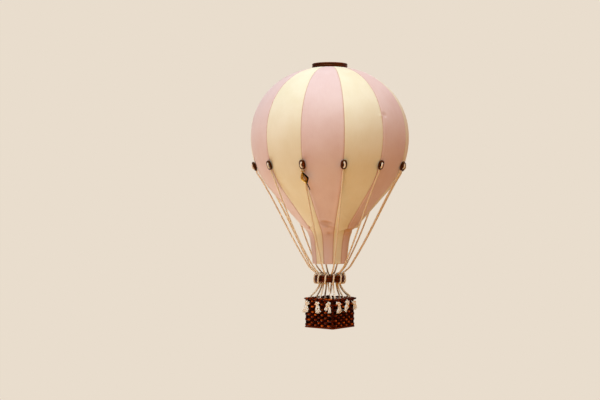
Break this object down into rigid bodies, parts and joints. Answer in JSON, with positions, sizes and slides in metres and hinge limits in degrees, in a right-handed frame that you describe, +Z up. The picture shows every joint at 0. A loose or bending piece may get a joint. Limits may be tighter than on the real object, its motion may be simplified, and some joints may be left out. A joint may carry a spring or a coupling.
{
  "type": "hanging toy hot air balloon",
  "caption": "Small hanging toy hot air balloon: striped hollow fabric envelope, wooden cap and load ring, cotton cords on oval beads, square woven basket and a swinging charm.",
  "frame": {"origin": "middle of the cap's top face, where the hanging line leaves it", "axes": "+Z up along the balloon's axis; -Y to the front as the picture shows it; +X to the front's right"},
  "size_m": [0.198, 0.198, 0.33],
  "materials": {
    "pink_cotton": "matt plain cotton, dusty pink",
    "cream_cotton": "matt plain cotton, cream",
    "dark_wood": "dark red-brown stain under clear varnish",
    "wicker": "woven willow, red-brown stain, varnished",
    "cord": "twisted natural cotton",
    "antique_brass": "antiqued, dark in the hollows"
  },
  "bodies": {
    "balloon": {"gore_01": "pink_cotton", "gore_02": "cream_cotton", "gore_03": "pink_cotton", "gore_04": "cream_cotton", "gore_05": "pink_cotton", "gore_06": "cream_cotton", "gore_07": "pink_cotton", "gore_08": "cream_cotton", "gore_09": "pink_cotton", "gore_10": "cream_cotton", "gore_11": "pink_cotton", "gore_12": "cream_cotton", "bead_01": "dark_wood", "bead_02": "dark_wood", "bead_03": "dark_wood", "bead_04": "dark_wood", "bead_05": "dark_wood", "bead_06": "dark_wood", "bead_07": "dark_wood", "bead_08": "dark_wood", "bead_09": "dark_wood", "bead_10": "dark_wood", "bead_11": "dark_wood", "bead_12": "dark_wood", "top_cap": "dark_wood", "load_ring": "dark_wood", "cord_01": "cord", "cord_02": "cord", "cord_03": "cord", "cord_04": "cord", "cord_05": "cord", "cord_06": "cord", "cord_07": "cord", "cord_08": "cord", "cord_09": "cord", "cord_10": "cord", "cord_11": "cord", "cord_12": "cord", "basket_wall_front_left": "wicker", "basket_wall_front_right": "wicker", "basket_wall_back_right": "wicker", "basket_wall_back_left": "wicker", "basket_post_left": "wicker", "basket_post_front": "wicker", "basket_post_right": "wicker", "basket_post_back": "wicker", "basket_rim": "wicker", "basket_floor": "wicker", "charm_ring": "antique_brass"},
    "charm": {"charm_leaf": "antique_brass"}
  },
  "joints": [
    {"name": "charm_swing", "type": "hinge", "parent": "balloon", "child": "charm", "pos_m": [-0.03238, -0.08898, -0.13721], "axis": [-0.9397, 0.342, 0], "range_deg": [-20, 80]}
  ]
}
